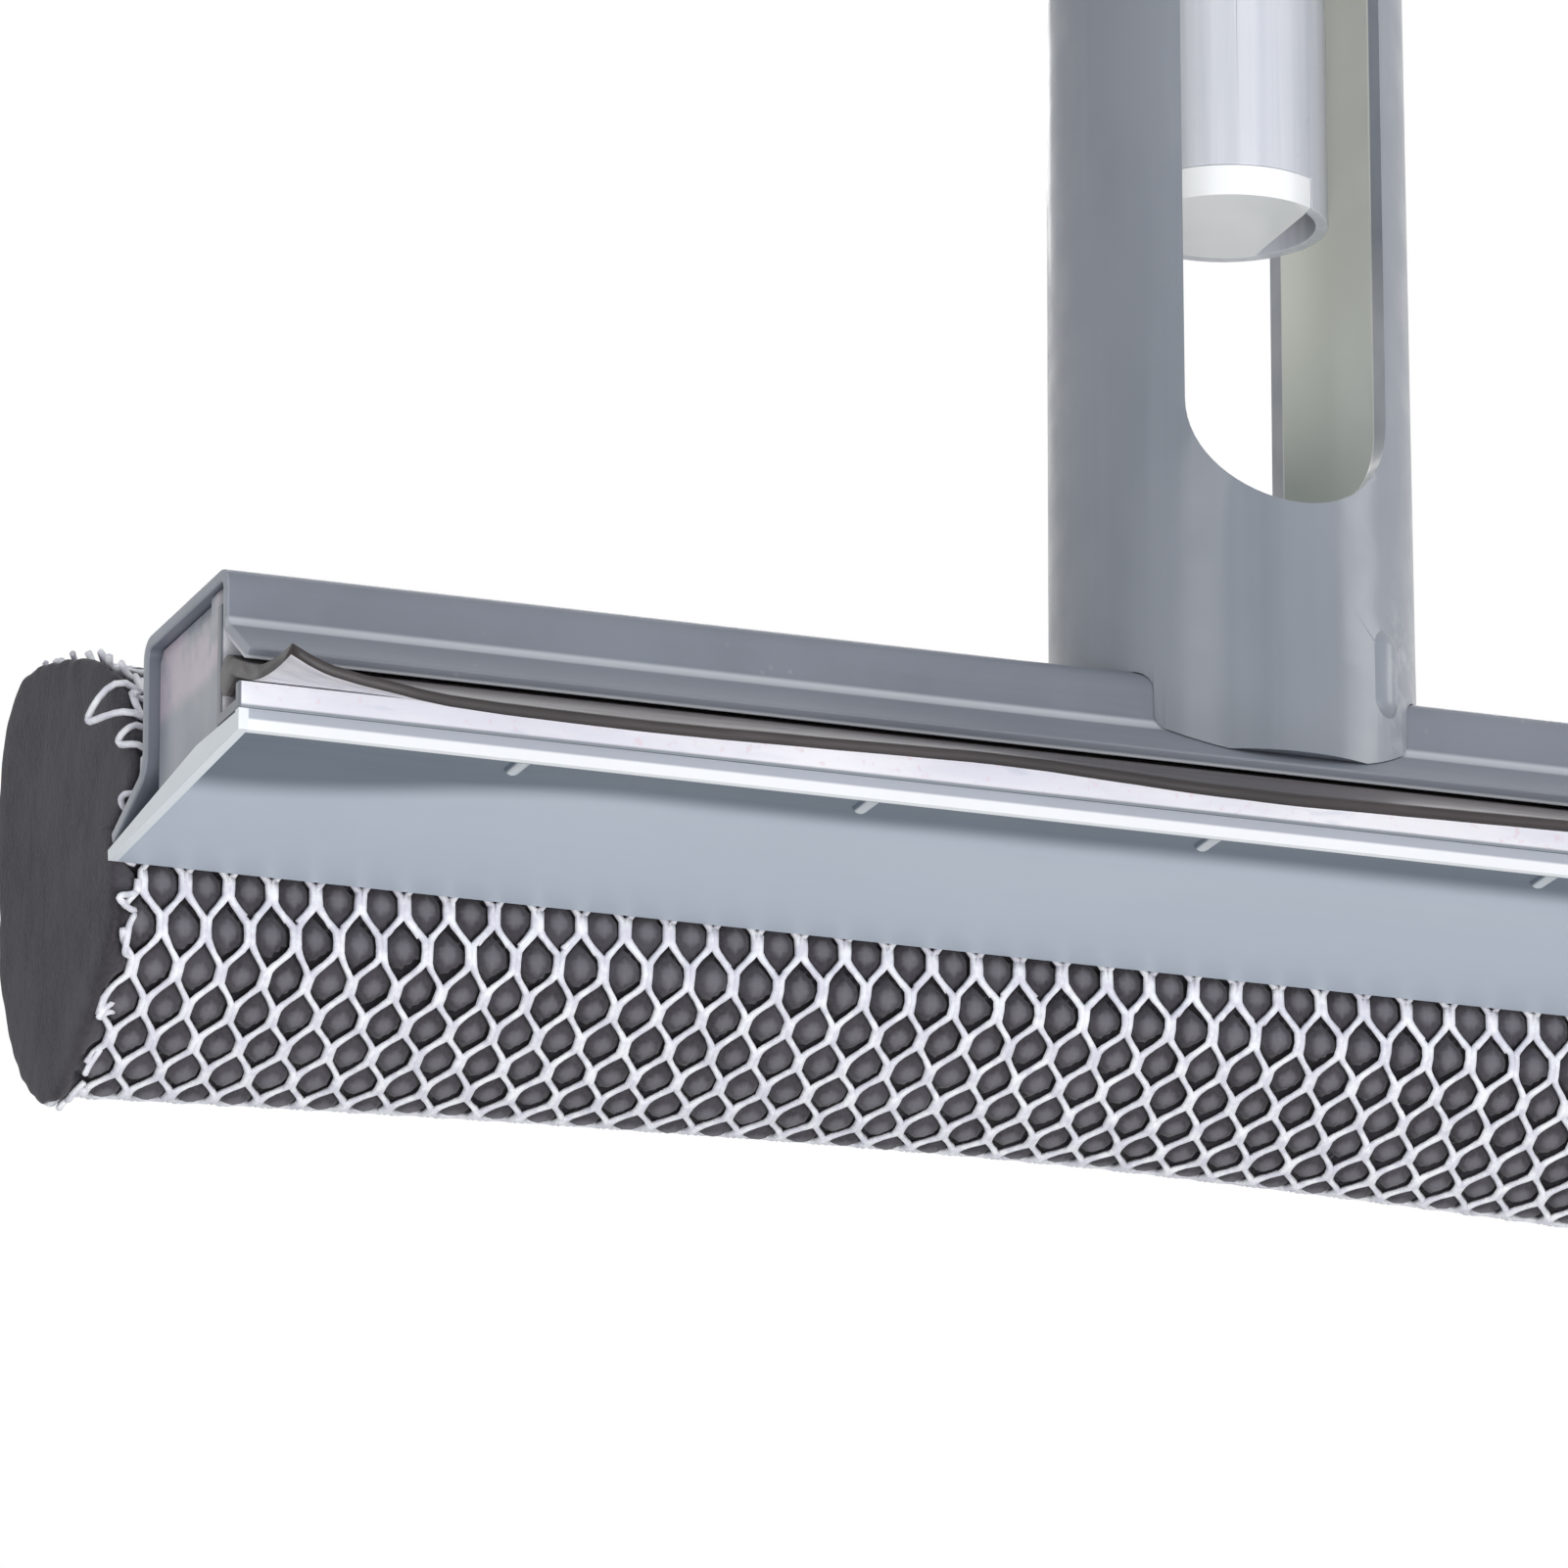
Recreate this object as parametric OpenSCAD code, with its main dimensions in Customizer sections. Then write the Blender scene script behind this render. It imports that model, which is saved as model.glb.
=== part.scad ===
// Window squeegee: a folded metal head with a rubber blade in front, a netted foam
// sponge behind and a slotted socket that takes a tubular pole.
// X runs along the head, +Y points to the sponge and +Z up the pole.
// The origin is the centre of the hanging hole at the top of the grip.

/* [Head] */
// Length of the head and of its blade
head_length = 203.2; // [120:0.1:400]
// Thickness of the folded upper sheet
sheet = 1.2; // [0.9:0.1:1.6]
// Distance from the pole's axis to the outside of the front flange
flange_y = 11.4; // [10:0.1:12.5]
// Height of the head's flat top over the bottom of its front rim
top_z = 16.6; // [15:0.1:20]
// Height of the bend under the front flange
flange_foot_z = 11.2; // [10:0.1:12]
// How far the upper lip reaches forward of the flange
lip_reach = 6; // [5:0.1:7]
// How far the upper lip comes down from the flange
lip_drop = 4.2; // [3.6:0.1:4.6]
// Distance from the pole's axis to the outside of the back wall
back_y = 12.8; // [12:0.1:16]
// Height of the bend where the back wall flares out
back_foot_z = 4.5; // [3.5:0.1:6]
// How far the flared lip reaches behind the back wall
flare_reach = 9; // [7:0.1:10]
// Radius of the outer bends of the folded sheets
bend_r = 2; // [1.3:0.1:2.4]

/* [Tray] */
// Thickness of the tray's sheet
tray_sheet = 1; // [0.8:0.1:1.2]
// Distance from the pole's axis to the tray's front rim
rim_y = 15.1; // [14.6:0.1:16]
// Height of the turned-up front rim
rim_h = 2; // [1.6:0.1:2.2]
// Distance from the pole's axis to the tray's back edge
tray_back_y = 22.5; // [22.3:0.1:24]
// How far the tray's back edge lies under its front rim
tray_fall = 1.4; // [0.8:0.1:2]
// Width of the stiffened strip behind the front rim
crease_width = 12; // [8:0.1:14]
// How far the floor lies over the bottom of the front rim
floor_rise = 0.8; // [0.5:0.1:1]
// How far the crease behind that strip is raised
crease_rise = 1; // [0.8:0.1:1.2]
// Distance between the pressed ribs along the front rim
rib_pitch = 33.4; // [20:0.1:60]
// How far the middle rib stands to the left of the head's middle
rib_shift = 7.1; // [0:0.1:10]
// Length of a pressed rib
rib_length = 5; // [3:0.1:8]

/* [Blade] */
// How far the blade's edge stands in front of the pole's axis
blade_tip_y = 30.4; // [26:0.1:36]
// Slope of the blade below the horizontal, in degrees
blade_droop = 21; // [18.6:0.1:21.5]
// Thickness of the blade at its root
blade_root = 1.6; // [1.3:0.1:1.6]
// Thickness of the blade at its edge
blade_edge = 1; // [0.8:0.1:1.3]
// Diameter of the bead along the blade's root
bead_d = 3.8; // [3.4:0.1:3.8]

/* [Sponge] */
// Depth of the foam from front to back
foam_depth = 41.4; // [34:0.1:50]
// Height of the foam at the middle of the head
foam_height = 36; // [30:0.1:44]
// How much lower the foam hangs at its two ends
foam_flare = 3.4; // [2:0.1:6]
// How far the foam leans back from its bottom to its top
foam_lean = 2.7; // [0:0.1:4]
// How far the foam's top rises towards the back
foam_tilt = 5.2; // [0:0.1:7]
// Thickness of the knitted net
net_t = 0.7; // [0.5:0.1:0.9]

/* [Socket] */
// Outer diameter of the socket at its foot
socket_d = 34; // [33:0.1:36]
// Wall of the socket
socket_wall = 2.4; // [2:0.1:3]
// Length of the socket above the head's top
socket_length = 124; // [112:0.1:180]
// Width of the slot through the socket
slot_width = 20; // [19.6:0.1:22]
// Height of the slot's round lower end over the head's top
slot_foot = 15.8; // [12:0.1:24]
// Length of the slot
slot_length = 88; // [76:0.1:92]

/* [Pole] */
// Outer diameter of the pole
pole_d = 19; // [18:0.1:19.2]
// Wall of the pole
pole_wall = 1.2; // [0.9:0.1:1.6]
// Height of the pole's open end over the head's top
pole_foot = 48.1; // [44:0.1:60]
// Length of the pole
pole_length = 290; // [200:1:600]
// Length of the grip
grip_length = 118; // [96:1:150]
// Outer diameter of the grip
grip_d = 28; // [26:0.1:32]
// Diameter of the hanging hole
hang_hole_d = 7; // [5:0.1:9]

/* [Hidden] */
$fn = 96;

// Shared clearances and one overrun for every cut
seat_gap = 0.1;
free_gap = 0.3;
overrun = 1;
half_head = head_length / 2;

// Head: outlines are drawn as Y and Z, then run along X
lip_end = [-flange_y - lip_reach, flange_foot_z - lip_drop];
tray_back = [tray_back_y, -tray_fall];
flare_end = [back_y + flare_reach, tray_sheet - tray_fall + seat_gap + sheet];
bend_steps = 5;
shell_corners = [flare_end, [back_y, back_foot_z], [back_y, top_z], [-flange_y, top_z],
    [-flange_y, flange_foot_z], lip_end];

// Tray and the jaw that stands on its rim
crease = [crease_width - rim_y, crease_rise];
fall_share = 1.01;
rim_t = tray_sheet * 0.9;
jaw_sheet = tray_sheet;
jaw_foot_z = rim_h + seat_gap / 2;
jaw_lip_z = 4.55;
jaw_web_set = 1.6;
jaw_web_y = flange_y - jaw_web_set;
jaw_web_low = 2.1;
jaw_web_z = top_z - sheet - jaw_web_low;
rib_r = 0.8;
rib_sink = 0.2;
rib_rows = floor((half_head - rib_length - rib_shift) / rib_pitch);

// Blade: its middle plane passes just over the jaw's lip
blade_pass = [-rim_y + jaw_sheet / 2, jaw_lip_z + free_gap + blade_root / 2 / cos(blade_droop)];
blade_slope = tan(blade_droop);
bead_set = 3.2;
bead_sink = 0.8;
bead_y = -rim_y + bead_set;
blade_root_z = blade_pass.y + (bead_y - blade_pass.x) * blade_slope;
bead_z = blade_root_z - bead_sink;
blade_tip_z = blade_pass.y - (blade_tip_y + blade_pass.x) * blade_slope;

// End caps
cap_t = 2.4;
cap_inset = 1.2;
cap_front_y = jaw_web_y - jaw_sheet - seat_gap;
cap_strip = 3.6;
cap_strip_proud = 0.6;

// Clamp strip, net and foam
strip_t = 1.2;
strip_h = 8;
strip_lift = 1.6;
strip_z = back_foot_z + strip_lift;
rivet_d = 3;
rivet_head_d = 5.4;
rivet_head_h = 1.1;
rivet_tail_shares = [[0, 0.7], [0.4, 0.4], [0.42, 0]];
rivet_head_shares = [[0.5, 0], [0.42, 0.6], [0.2, 1], [0, 1]];
rivets = 5;
rivet_pitch = head_length / rivets;
net_gap = 0.3;
foam_front_y = back_y + strip_t + seat_gap + free_gap + rivet_head_h + net_t + net_gap;
foam_back_y = foam_front_y + foam_depth;
foam_mid = [(foam_front_y + foam_back_y) / 2, 2.4];
foam_lip_y = tray_back_y + free_gap + net_t + net_gap;
foam_lift = 1.6;
foam_press = 1;
foam_rest = 1;
foam_crown = 1.6;
foam_low_power = 1.55;
foam_heel = 3.8;
foam_top_power = 3.3;
foam_flare_power = 1.6;
foam_stations = 10;
foam_points = 32;
foam_end_inset = 0.6;
foam_end_round = 1.4;

// Socket
socket_r = socket_d / 2;
socket_bore_r = socket_r - socket_wall;
socket_draft = 0.5;
socket_mouth_r = socket_r - socket_draft;
socket_floor = 4;
socket_seat_z = top_z + seat_gap / 2;
socket_top_z = top_z + socket_length;
skirt_z = 8.4;
slot_z = top_z + slot_foot;
slot_top_z = slot_z + slot_length;
bump_r = 2.4;
bump_h = 5;
bump_sink = 1.7;
bump_drop = 1.4;
bump_z = top_z - bump_drop;
bump_turn = 34;
screw_d = 4;
screw_head_d = 7.4;
screw_head_h = 2.4;
screw_pitch = 14;
screw_length = 9;
screw_key_share = 0.8;
plate_t = 1.6;
plate_size = [30, 19];

// Bush, pole, plug and collar
pole_r = pole_d / 2;
pole_bore_r = pole_r - pole_wall;
run_gap = 0.08;
bush_lift = 2.5;
bush_z = slot_top_z + bush_lift;
bush_flange = 1.6;
pole_z = top_z + pole_foot;
pole_top_z = pole_z + pole_length;
notch_h = 3;
notch_x = 5.3;
plug_h = 14;
plug_shell = 1.5;
collar_h = 9;
collar_t = 3.2;
collar_lip_share = 0.3;
collar_shares = [0.6, 0.85];
collar_z = socket_top_z + bush_flange + free_gap;

// Grip and its cap
grip_r = grip_d / 2;
grip_z = pole_top_z - grip_length;
grip_rings = 9;
ring_r = 1.6;
ring_share = 0.7;
guard_shares = [[0.1, 0], [0.143, 0.017], [0.086, 0.042], [-0.071, 0.102], [-0.029, 0.169]];
lip_shares = [[0, 0.034], [0.043, 0.017], [0.043, 0]];
first_share = 0.2;
rings_share = 0.7;
barrel_in = 0.2;
barrel_swell = 0.6;
cap_plug_h = 16;
tab_w = 17;
tab_t = 8;
hang_lift = 15;
hang_z = pole_top_z + hang_lift;
cap_flange_h = 3;
cap_chamfer = 1.2;
grip_lip = 0.6;
cap_flange_r = grip_r + grip_lip;
grip_pin_d = 4;
grip_pin_inset = 0.8;
grip_pin_z = pole_top_z - cap_plug_h / 2;

// Helpers for folded sheets: a bend is an arc of bend_steps chords
function unit(v) = v / norm(v);
function left_of(v) = [-v.y, v.x];
function last(list) = list[len(list) - 1];
function turned(angle) = (angle + 540) % 360 - 180;
function bend_at(a, b, c, r) =
    let (u = unit(a - b), w = unit(c - b), half = acos(u * w) / 2)
    let (middle = b + unit(u + w) * r / sin(half))
    let (from = b + u * r / tan(half) - middle, to = b + w * r / tan(half) - middle)
    let (start = atan2(from.y, from.x), sweep = turned(atan2(to.y, to.x) - start))
    [for (i = [0 : bend_steps]) middle + r * [cos(start + sweep * i / bend_steps),
        sin(start + sweep * i / bend_steps)]];
function bent(path, r) = concat([path[0]],
    [for (i = [1 : len(path) - 2]) each bend_at(path[i - 1], path[i], path[i + 1], r)],
    [last(path)]);
function offset_point(path, i, t) =
    let (ahead = i < len(path) - 1 ? left_of(unit(path[i + 1] - path[i])) : undef)
    let (behind = i > 0 ? left_of(unit(path[i] - path[i - 1])) : ahead)
    let (next = is_undef(ahead) ? behind : ahead, m = unit(behind + next))
    path[i] + m * t / (m * behind);
function shifted(path, t) = [for (i = [0 : len(path) - 1]) offset_point(path, i, t)];
function reversed(list) = [for (i = [len(list) - 1 : -1 : 0]) list[i]];
function band(path, t) = concat(path, reversed(shifted(path, t)));

shell_path = bent(shell_corners, bend_r);
tray_front = [-rim_y, floor_rise];
tray_path = [tray_front, crease, tray_back];
jaw_path = [[-rim_y, jaw_lip_z], [-rim_y, jaw_foot_z], [-jaw_web_y + jaw_sheet, jaw_foot_z],
    [-jaw_web_y + jaw_sheet, jaw_web_z]];

// Draws the children with the head's rim at the right height under the hanging hole
module hung() {
    translate([0, 0, -hang_z])
        children();
}

// Runs a Y and Z outline along X, centred
module along_head(length) {
    rotate([90, 0, 90])
        linear_extrude(height = length, center = true)
            children();
}

module drilled_row(r, length, z) {
    for (i = [0 : rivets - 1])
        translate([(i - (rivets - 1) / 2) * rivet_pitch, back_y - sheet - overrun, z])
            rotate([-90, 0, 0])
                cylinder(r = r, h = length);
}

// Head shell: flared lip, back wall, top, front flange and upper lip in one folded sheet
module head_shell() {
    color("#868e98")
        hung()
            difference() {
                along_head(head_length)
                    polygon(band(shell_path, sheet));
                drilled_row((rivet_d + seat_gap) / 2, sheet + 2 * overrun, strip_z + strip_h / 2);
                for (side = [-1, 1])
                    translate([side * screw_pitch / 2, 0, top_z - sheet - overrun])
                        cylinder(d = screw_d + seat_gap, h = sheet + 2 * overrun);
            }
}

// Tray plate: closes the head from below, with a front rim, end rims and pressed ribs
module tray_plate() {
    color("#a9b4bf")
        hung()
            union() {
                along_head(head_length)
                    union() {
                        polygon(band(tray_path, tray_sheet));
                        translate([-rim_y, 0])
                            square([tray_sheet, rim_h]);
                    }
                for (side = [-1, 1])
                    translate([side * (half_head - rim_t / 2), 0, 0])
                        along_head(rim_t)
                            polygon([[-rim_y, 0], tray_back, crease + [0, tray_sheet / 2],
                                tray_front + [0, tray_sheet / 2]]);
                for (i = [-rib_rows : rib_rows])
                    translate([i * rib_pitch - rib_shift, 0, 0])
                        pressed_rib();
            }
}

// One rib stands under the floor and runs back from the front rim
module pressed_rib() {
    rib_tilt = atan2(crease_rise - floor_rise, crease_width);
    translate([0, -rim_y + tray_sheet / 2, floor_rise + rib_sink])
        rotate([rib_tilt - 90, 0, 0])
            union() {
                cylinder(r = rib_r, h = rib_length);
                translate([0, 0, rib_length])
                    sphere(r = rib_r);
            }
}

// Blade jaw: a channel on the rim whose low front lip carries the rubber
module blade_jaw() {
    color("#d9d6da")
        hung()
            along_head(head_length)
                polygon(band(jaw_path, jaw_sheet));
}

// Rubber blade: a round bead in the channel and a tapering strip that slopes forward
module rubber_blade() {
    root_half = [-blade_root / 2 * sin(blade_droop), blade_root / 2 * cos(blade_droop)];
    edge_half = root_half * blade_edge / blade_root;
    bead = [bead_y, bead_z];
    root = [bead_y, blade_root_z];
    tip = [-blade_tip_y, blade_tip_z];
    color("#2b2422")
        hung()
            along_head(head_length)
                union() {
                    translate(bead)
                        circle(d = bead_d);
                    polygon([root + root_half, tip + edge_half, tip - edge_half, root - root_half]);
                }
}

// End cap: a plate set into the head's end, with a raised strip along its front edge
module end_cap(side) {
    cap_x = half_head - cap_inset - cap_t / 2;
    color("#9aa1aa")
        hung()
            translate([side * cap_x, 0, 0]) {
                along_head(cap_t)
                    cap_outline();
                translate([side * (cap_t + cap_strip_proud) / 2, 0, 0])
                    along_head(cap_strip_proud)
                        intersection() {
                            cap_outline();
                            translate([-cap_front_y, 0])
                                square([cap_strip, top_z]);
                        }
            }
}

// Height of the tray's upper side at a distance y from the pole's axis
function tray_top(y) = tray_sheet * fall_share + (y < crease.x
    ? floor_rise + (crease_rise - floor_rise) * (y + rim_y) / crease_width
    : crease_rise - (crease_rise + tray_fall) * (y - crease.x) / (tray_back_y - crease.x));

// The space between the shell and the tray behind the jaw's web
module cap_outline() {
    top = top_z - sheet - seat_gap;
    back = back_y - sheet - seat_gap;
    round_r = bend_r - sheet;
    polygon([[-cap_front_y, tray_top(-cap_front_y) + seat_gap], [crease.x, tray_top(crease.x) + seat_gap],
        [back, tray_top(back) + seat_gap], [back, top - round_r], [back - round_r, top],
        [-cap_front_y, top]]);
}

module left_end_cap() {
    end_cap(-1);
}

module right_end_cap() {
    end_cap(1);
}

// Foam section: a rounded block that lies against the back wall and behind the tray
function rounded_share(angle) = let (power = sin(angle) > 0 ? foam_top_power : foam_low_power)
    [sign(cos(angle)) * pow(abs(cos(angle)), 2 / power), sign(sin(angle)) * pow(abs(sin(angle)), 2 / power)];
function foam_limit(z, grow) =
    let (high = back_foot_z + foam_lift, low = flare_end.y + foam_lift, share = (high - z) / (high - low))
    -grow + (z > high ? foam_front_y : z < low ? foam_lip_y
        : foam_front_y + share * (foam_lip_y - foam_front_y));
function foam_reach(x, upper) = foam_height / 2 + (upper ? foam_crown
    : foam_flare * pow(abs(x) / half_head, foam_flare_power) - foam_rest);
function foam_point(x, angle, grow) =
    let (s = rounded_share(angle), upper = s.y > 0)
    let (z = foam_mid.y + s.y * (foam_reach(x, upper) + grow) + (upper ? foam_tilt * s.x * s.y : 0))
    let (y = foam_mid.x + s.x * ((foam_depth + foam_press - foam_lean) / 2 + grow) - foam_press / 2
        + (upper ? foam_lean : -foam_heel) * s.y)
    [x, max(y, foam_limit(z, grow)), z];
function foam_ring(x, grow) = [for (k = [0 : foam_points - 1]) foam_point(x, 360 * k / foam_points, grow)];
function foam_x(i) = (half_head - foam_end_inset) * sin(90 * (2 * i / foam_stations - 1));

// Joins rings of equal length into one closed skin
module skinned(rings) {
    n = len(rings[0]);
    rows = len(rings);
    polyhedron(points = [for (ring = rings) each ring],
        faces = concat([[for (k = [0 : n - 1]) k]],
            [for (i = [0 : rows - 2]) for (k = [0 : n - 1]) each
                [[i * n + k, (i + 1) * n + k, (i + 1) * n + (k + 1) % n],
                [i * n + k, (i + 1) * n + (k + 1) % n, i * n + (k + 1) % n]]],
            [[for (k = [n - 1 : -1 : 0]) (rows - 1) * n + k]]));
}

// Foam sponge: one block that hangs a little lower towards its two ends
module foam_sponge() {
    color("#47444a")
        hung()
            skinned([for (i = [0 : foam_stations])
                foam_ring(foam_x(i), i == 0 || i == foam_stations ? -foam_end_round : 0)]);
}

// Net sleeve: the thin layer round the foam that the knitted net fills, open at both ends
module net_sleeve() {
    inner = net_gap;
    outer = net_gap + net_t;
    reach = half_head - foam_end_inset - foam_end_round;
    color("#f2f2f4")
        hung()
            difference() {
                skinned([for (i = [0 : foam_stations]) let (x = foam_x(i) * reach / foam_x(foam_stations))
                    foam_ring(x, outer)]);
                skinned([for (i = [0 : foam_stations]) let (x = foam_x(i) * (half_head + overrun) / half_head)
                    foam_ring(x, inner)]);
            }
}

// Net clamp strip: traps the net's two long edges against the back wall
module net_clamp_strip() {
    length = head_length - 2 * strip_h;
    color("#7d848d")
        hung()
            difference() {
                translate([-length / 2, back_y + seat_gap, strip_z])
                    cube([length, strip_t, strip_h]);
                drilled_row((rivet_d + seat_gap) / 2, sheet + strip_t + 4 * overrun,
                    strip_z + strip_h / 2);
            }
}

// Clamp rivets: headed outside the strip and closed inside the back wall
module clamp_rivets() {
    grip = sheet + strip_t + seat_gap;
    profile = concat([for (s = rivet_tail_shares) [rivet_head_d * s.x, -rivet_head_h * s.y]],
        [[rivet_d / 2, 0], [rivet_d / 2, grip]],
        [for (s = rivet_head_shares) [rivet_head_d * s.x, grip + rivet_head_h * s.y]]);
    color("#c4c8cc")
        hung()
            for (i = [0 : rivets - 1])
                translate([(i - (rivets - 1) / 2) * rivet_pitch, back_y - sheet, strip_z + strip_h / 2])
                    rotate([-90, 0, 0])
                        rotate_extrude()
                            polygon(profile);
}

// Handle socket: a drafted tube with a long slot through both walls and a front skirt
module handle_socket() {
    color("#8b9199")
        hung()
            difference() {
                union() {
                    translate([0, 0, socket_seat_z])
                        cylinder(r1 = socket_r, r2 = socket_mouth_r, h = socket_top_z - socket_seat_z);
                    socket_skirt();
                }
                translate([0, 0, socket_seat_z + socket_floor])
                    cylinder(r = socket_bore_r, h = socket_length);
                socket_slot();
                for (side = [-1, 1])
                    translate([side * screw_pitch / 2, 0, socket_seat_z - overrun])
                        cylinder(d = screw_d + seat_gap, h = socket_floor + 2 * overrun);
            }
}

// The slot has a round end at the bottom and at the top, and runs through both walls
module socket_slot() {
    r = slot_width / 2;
    rotate([90, 0, 0])
        linear_extrude(height = socket_d + 2 * overrun, center = true)
            union() {
                translate([0, slot_z + r])
                    circle(r = r);
                translate([0, slot_top_z - r])
                    circle(r = r);
                translate([-r, slot_z + r])
                    square([slot_width, slot_length - slot_width]);
            }
}

// The skirt laps down over the front flange to just above the upper lip
module socket_skirt() {
    difference() {
        union() {
            intersection() {
                translate([0, 0, skirt_z])
                    cylinder(r = socket_r, h = socket_seat_z + overrun - skirt_z);
                translate([-socket_r, -socket_d, 0])
                    cube([socket_d, socket_d - flange_y + bend_r, socket_seat_z + overrun]);
            }
            socket_bump();
        }
        along_head(socket_d + 2 * overrun)
            polygon(shifted(shell_path, -seat_gap));
    }
}

// A low rounded bump at the front of the socket, beside the flange
module socket_bump() {
    rotate([0, 0, bump_turn])
        translate([0, bump_sink - socket_r, bump_z])
            union() {
                cylinder(r = bump_r, h = bump_h);
                sphere(r = bump_r);
                translate([0, 0, bump_h])
                    sphere(r = bump_r);
            }
}

// Backing plate: spreads the screws' load under the head's top
module socket_backing_plate() {
    color("#6f757d")
        hung()
            difference() {
                translate([-plate_size.x / 2, -plate_size.y / 2, top_z - sheet - seat_gap - plate_t])
                    cube([plate_size.x, plate_size.y, plate_t]);
                for (side = [-1, 1])
                    translate([side * screw_pitch / 2, 0, top_z - sheet - seat_gap - plate_t - overrun])
                        cylinder(d = screw_d + seat_gap, h = plate_t + 2 * overrun);
            }
}

// Socket screws: from inside the head, up through plate and top into the socket's floor
module socket_screws() {
    head_z = top_z - sheet - 2 * seat_gap - plate_t - screw_head_h;
    color("#b9bdc2")
        hung()
            for (side = [-1, 1])
                translate([side * screw_pitch / 2, 0, head_z])
                    difference() {
                        union() {
                            cylinder(d = screw_head_d, h = screw_head_h);
                            cylinder(d = screw_d, h = screw_head_h + screw_length);
                        }
                        translate([0, 0, -overrun])
                            cylinder(d = screw_d * screw_key_share, h = overrun + screw_head_h / 2, $fn = 6);
                    }
}

// Socket bush: a sleeve in the socket's mouth that the pole slides through
module socket_bush() {
    color("#303338")
        hung()
            difference() {
                union() {
                    translate([0, 0, bush_z])
                        cylinder(r = socket_bore_r - seat_gap, h = socket_top_z - bush_z);
                    translate([0, 0, socket_top_z])
                        cylinder(r = socket_mouth_r, h = bush_flange);
                }
                translate([0, 0, bush_z - overrun])
                    cylinder(r = pole_r + run_gap, h = socket_top_z + bush_flange - bush_z + 2 * overrun);
            }
}

// Pole tube: notched at its lower end for the plug's key
module pole_tube() {
    color("#c3c3cc")
        hung()
            difference() {
                translate([0, 0, pole_z])
                    cylinder(r = pole_r, h = pole_length);
                translate([0, 0, pole_z - overrun])
                    cylinder(r = pole_bore_r, h = pole_length + 2 * overrun);
                translate([-pole_d, -pole_d, pole_z - overrun])
                    cube([pole_d + notch_x, pole_d, notch_h + overrun]);
                translate([0, -pole_d, grip_pin_z])
                    rotate([-90, 0, 0])
                        cylinder(d = grip_pin_d + seat_gap, h = 2 * pole_d);
            }
}

// Pole end plug: a white cap in the open end whose key fills the notch
module pole_end_plug() {
    plug_r = pole_bore_r - seat_gap / 2;
    color("#f4f4f6")
        hung()
            difference() {
                union() {
                    intersection() {
                        translate([0, 0, pole_z])
                            cylinder(r = plug_r, h = plug_h);
                        translate([-pole_d, -pole_d, pole_z - overrun])
                            cube([pole_d + notch_x, 2 * pole_d, plug_h + 2 * overrun]);
                    }
                    intersection() {
                        translate([0, 0, pole_z])
                            cylinder(r = pole_r, h = notch_h - seat_gap);
                        translate([-pole_d, -pole_d, pole_z - overrun])
                            cube([pole_d + notch_x - seat_gap, pole_d - seat_gap, notch_h + overrun]);
                    }
                }
                translate([0, 0, pole_z + notch_h])
                    cylinder(r = plug_r - plug_shell, h = plug_h);
            }
}

// Pole stop collar: sits over the socket's mouth and sets how deep the pole goes
module pole_stop_collar() {
    inner = pole_r + seat_gap / 2;
    lip = collar_t * collar_lip_share;
    color("#303338")
        hung()
            translate([0, 0, collar_z])
                rotate_extrude()
                    polygon([[inner, 0], [inner + collar_t, 0],
                        [inner + collar_t, collar_h * collar_shares[0]],
                        [inner + collar_t - lip, collar_h * collar_shares[1]],
                        [inner + lip, collar_h], [inner, collar_h]]);
}

// Grip sleeve: a barrel with a flared guard, round grooves and a lip at the top
module grip_sleeve() {
    inner = pole_r + seat_gap / 2;
    start = grip_z;
    end = pole_top_z - seat_gap;
    first = start + grip_length * first_share;
    step = grip_length * rings_share / grip_rings;
    color("#26282c")
        hung()
            difference() {
                rotate_extrude()
                    polygon(concat([[inner, start]],
                        [for (s = guard_shares) [grip_r * (1 + s.x), start + grip_length * s.y]],
                        [for (i = [1 : grip_rings]) let (swell = barrel_swell * sin(180 * i / grip_rings))
                            [grip_r - barrel_in + swell, first + i * step]],
                        [for (s = lip_shares) [grip_r * (1 + s.x), end - grip_length * s.y]],
                        [[inner, end]]));
                for (i = [0 : grip_rings - 1])
                    translate([0, 0, first + (i + 0.5) * step])
                        rotate_extrude()
                            translate([grip_r + ring_r * ring_share, 0])
                                circle(r = ring_r);
                translate([0, -grip_d, grip_pin_z])
                    rotate([-90, 0, 0])
                        cylinder(d = grip_pin_d + seat_gap, h = 2 * grip_d);
            }
}

// Grip cap: a plug in the pole's top with a flat eye that holds the hanging hole
module grip_cap() {
    color("#26282c")
        hung()
            difference() {
                union() {
                    translate([0, 0, pole_top_z - cap_plug_h])
                        cylinder(r = pole_bore_r - seat_gap / 2, h = cap_plug_h + cap_flange_h / 2);
                    translate([0, 0, pole_top_z])
                        cylinder(r1 = cap_flange_r, r2 = cap_flange_r - cap_chamfer, h = cap_flange_h);
                    translate([0, 0, hang_z])
                        rotate([90, 0, 0])
                            cylinder(d = tab_w, h = tab_t, center = true);
                    translate([-tab_w / 2, -tab_t / 2, pole_top_z + overrun])
                        cube([tab_w, tab_t, hang_z - pole_top_z - overrun]);
                }
                translate([0, 0, hang_z])
                    rotate([90, 0, 0])
                        cylinder(d = hang_hole_d, h = tab_t + 2 * overrun, center = true);
                translate([0, -pole_d, grip_pin_z])
                    rotate([-90, 0, 0])
                        cylinder(d = grip_pin_d + seat_gap, h = 2 * pole_d);
            }
}

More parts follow.
